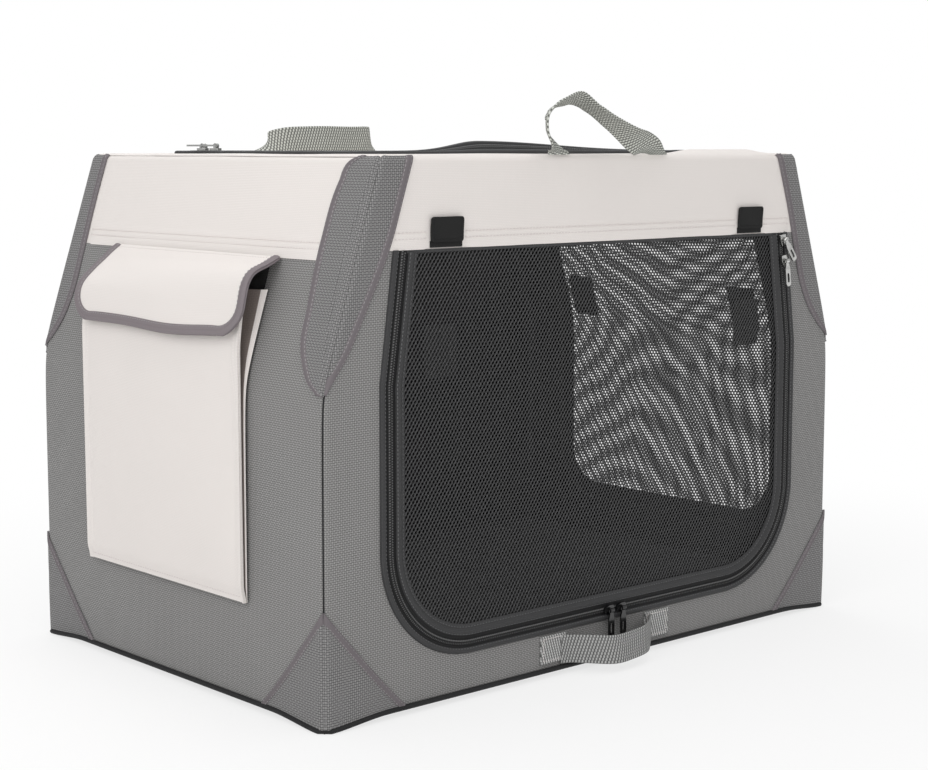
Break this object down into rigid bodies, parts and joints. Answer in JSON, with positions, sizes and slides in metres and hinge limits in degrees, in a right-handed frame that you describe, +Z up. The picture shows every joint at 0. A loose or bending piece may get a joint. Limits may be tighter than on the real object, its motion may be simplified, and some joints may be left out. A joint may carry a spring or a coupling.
{
  "type": "car pet carrier",
  "caption": "Soft-sided car pet carrier: sewn cloth cover with mesh doors and leaning ends over a plug-together tube frame, with zips, side pocket and webbing handles.",
  "frame": {"origin": "middle of the underside, on the ground", "axes": "+X along the front from the pocket end to the end door, +Y from the front door to the rear, +Z up"},
  "size_m": [0.7265, 0.5108, 0.5608],
  "materials": {
    "grey_oxford": "plain weave, coated inside",
    "cream_oxford": "plain weave, coated inside",
    "guard_cloth": "heavier plain weave",
    "binding": "ribbed tape",
    "zip_tape": "woven zip tape with a coil",
    "mesh": "knitted net",
    "hook_loop": "hook-and-loop tape",
    "webbing": "ribbed webbing",
    "steel_tube": "powder coat",
    "moulded_fitting": "moulded",
    "floor_board": "hard sheet",
    "mat_fleece": "quilted cloth over wadding",
    "base_cloth": "coated cloth",
    "silver_metal": "satin plate",
    "black_metal": "gloss"
  },
  "bodies": {
    "shell": {"base_rails_long": "steel_tube", "base_rails_short": "steel_tube", "top_rails_long": "steel_tube", "top_rails_short": "steel_tube", "front_legs": "steel_tube", "rear_legs": "steel_tube", "base_corner_fittings": "moulded_fitting", "top_corner_fittings": "moulded_fitting", "floor_board": "floor_board", "floor_mat": "mat_fleece", "base_cloth": "base_cloth", "front_wall": "grey_oxford", "rear_wall": "grey_oxford", "left_wall": "grey_oxford", "right_wall": "grey_oxford", "front_band": "cream_oxford", "rear_band": "cream_oxford", "left_band": "cream_oxford", "right_band": "cream_oxford", "roof_panel": "cream_oxford", "corner_guards": "guard_cloth", "base_corner_patches": "guard_cloth", "base_piping": "binding", "front_zip_tape": "zip_tape", "right_zip_tape": "zip_tape", "top_zip_tape": "zip_tape", "pocket": "cream_oxford", "base_handle_tabs": "webbing"},
    "front_door": {"front_door_mesh": "mesh", "front_door_tape": "zip_tape", "front_door_patches": "hook_loop"},
    "right_door": {"right_door_mesh_lower": "mesh", "right_door_mesh_upper": "mesh", "right_door_tape": "zip_tape", "right_door_patches": "hook_loop"},
    "top_door": {"top_door_mesh": "mesh", "top_door_tape": "zip_tape"},
    "pocket_flap": {"pocket_flap": "cream_oxford", "flap_binding": "binding"},
    "front_handle": {"front_handle": "webbing"},
    "rear_handle": {"rear_handle": "webbing"},
    "base_handle": {"base_handle": "webbing"},
    "front_strap_left": {"front_strap_left": "hook_loop"},
    "front_strap_right": {"front_strap_right": "hook_loop"},
    "end_strap_front": {"end_strap_front": "hook_loop"},
    "end_strap_rear": {"end_strap_rear": "hook_loop"},
    "front_upper_slider": {"front_upper_slider": "silver_metal"},
    "front_upper_pull": {"front_upper_pull": "silver_metal"},
    "front_lower_slider": {"front_lower_slider": "silver_metal"},
    "front_lower_pull": {"front_lower_pull": "silver_metal"},
    "sill_left_slider": {"sill_left_slider": "black_metal"},
    "sill_left_pull": {"sill_left_pull": "black_metal"},
    "sill_right_slider": {"sill_right_slider": "black_metal"},
    "sill_right_pull": {"sill_right_pull": "black_metal"},
    "roof_rear_slider": {"roof_rear_slider": "silver_metal"},
    "roof_rear_pull": {"roof_rear_pull": "silver_metal"},
    "roof_front_slider": {"roof_front_slider": "silver_metal"},
    "roof_front_pull": {"roof_front_pull": "silver_metal"},
    "end_door_slider": {"end_door_slider": "silver_metal"},
    "end_door_pull": {"end_door_pull": "silver_metal"}
  },
  "joints": [
    {"name": "front_door_swing", "type": "hinge", "parent": "shell", "child": "front_door", "pos_m": [0, -0.2372, 0.418], "axis": [-1, 0, 0], "range_deg": [0, 120]},
    {"name": "right_door_swing", "type": "hinge", "parent": "shell", "child": "right_door", "pos_m": [0.31432, 0, 0.40938], "axis": [0, -1, 0], "range_deg": [0, 120]},
    {"name": "top_door_swing", "type": "hinge", "parent": "shell", "child": "top_door", "pos_m": [0, 0.122, 0.5012], "axis": [-1, 0, 0], "range_deg": [0, 115]},
    {"name": "pocket_flap_lift", "type": "hinge", "parent": "shell", "child": "pocket_flap", "pos_m": [-0.31356, 0.007, 0.41357], "axis": [0, 1, 0], "range_deg": [0, 115]},
    {"name": "front_handle_swing", "type": "hinge", "parent": "shell", "child": "front_handle", "pos_m": [0, -0.236, 0.50155], "axis": [1, 0, 0], "range_deg": [-60, 95]},
    {"name": "rear_handle_swing", "type": "hinge", "parent": "shell", "child": "rear_handle", "pos_m": [0, 0.236, 0.50155], "axis": [-1, 0, 0], "range_deg": [0, 155]},
    {"name": "base_handle_swing", "type": "hinge", "parent": "shell", "child": "base_handle", "pos_m": [0, -0.2363, 0.039], "axis": [-1, 0, 0], "range_deg": [0, 40]},
    {"name": "front_strap_left_peel", "type": "hinge", "parent": "shell", "child": "front_strap_left", "pos_m": [-0.209, -0.23755, 0.42325], "axis": [1, 0, 0], "range_deg": [0, 50]},
    {"name": "front_strap_right_peel", "type": "hinge", "parent": "shell", "child": "front_strap_right", "pos_m": [0.209, -0.23755, 0.42325], "axis": [1, 0, 0], "range_deg": [0, 50]},
    {"name": "end_strap_front_peel", "type": "hinge", "parent": "shell", "child": "end_strap_front", "pos_m": [0.313, -0.118, 0.41447], "axis": [0, 1, 0], "range_deg": [0, 50]},
    {"name": "end_strap_rear_peel", "type": "hinge", "parent": "shell", "child": "end_strap_rear", "pos_m": [0.313, 0.118, 0.41447], "axis": [0, 1, 0], "range_deg": [0, 50]},
    {"name": "front_upper_slider_run", "type": "slide", "parent": "front_door", "child": "front_upper_slider", "axis": [0.1344, 0, -0.9909], "range_m": [0, 0.004]},
    {"name": "front_upper_pull_lift", "type": "hinge", "parent": "front_upper_slider", "child": "front_upper_pull", "pos_m": [0.26021, -0.2439, 0.40908], "axis": [0.791, 0, 0.6118], "range_deg": [-150, 0]},
    {"name": "front_lower_slider_run", "type": "slide", "parent": "front_door", "child": "front_lower_slider", "axis": [0.1344, 0, -0.9909], "range_m": [0, 0.08]},
    {"name": "front_lower_pull_lift", "type": "hinge", "parent": "front_lower_slider", "child": "front_lower_pull", "pos_m": [0.26317, -0.2439, 0.38728], "axis": [0.9909, 0, 0.1344], "range_deg": [-150, 0]},
    {"name": "sill_left_slider_run", "type": "slide", "parent": "front_door", "child": "sill_left_slider", "axis": [-1, 0, 0], "range_m": [0, 0.04]},
    {"name": "sill_left_pull_lift", "type": "hinge", "parent": "sill_left_slider", "child": "sill_left_pull", "pos_m": [0.0005, -0.2439, 0.054], "axis": [1, 0, 0], "range_deg": [-150, 0]},
    {"name": "sill_right_slider_run", "type": "slide", "parent": "front_door", "child": "sill_right_slider", "axis": [1, 0, 0], "range_m": [0, 0.026]},
    {"name": "sill_right_pull_lift", "type": "hinge", "parent": "sill_right_slider", "child": "sill_right_pull", "pos_m": [0.0175, -0.2439, 0.054], "axis": [1, 0, 0], "range_deg": [-150, 0]},
    {"name": "roof_rear_slider_run", "type": "slide", "parent": "top_door", "child": "roof_rear_slider", "axis": [0, -1, 0], "range_m": [0, 0.004]},
    {"name": "roof_rear_pull_lift", "type": "hinge", "parent": "roof_rear_slider", "child": "roof_rear_pull", "pos_m": [-0.247, 0.086, 0.5079], "axis": [-1, 0, 0], "range_deg": [-150, 0]},
    {"name": "roof_front_slider_run", "type": "slide", "parent": "top_door", "child": "roof_front_slider", "axis": [0, -1, 0], "range_m": [0, 0.205]},
    {"name": "roof_front_pull_lift", "type": "hinge", "parent": "roof_front_slider", "child": "roof_front_pull", "pos_m": [-0.247, 0.064, 0.5079], "axis": [-0.866, -0.5, 0], "range_deg": [-150, 0]},
    {"name": "end_door_slider_run", "type": "slide", "parent": "right_door", "child": "end_door_slider", "axis": [0.3148, 0, -0.9492], "range_m": [0, 0.08]},
    {"name": "end_door_pull_lift", "type": "hinge", "parent": "end_door_slider", "child": "end_door_pull", "pos_m": [0.32446, -0.173, 0.4001], "axis": [0, 1, 0], "range_deg": [-150, 0]}
  ]
}
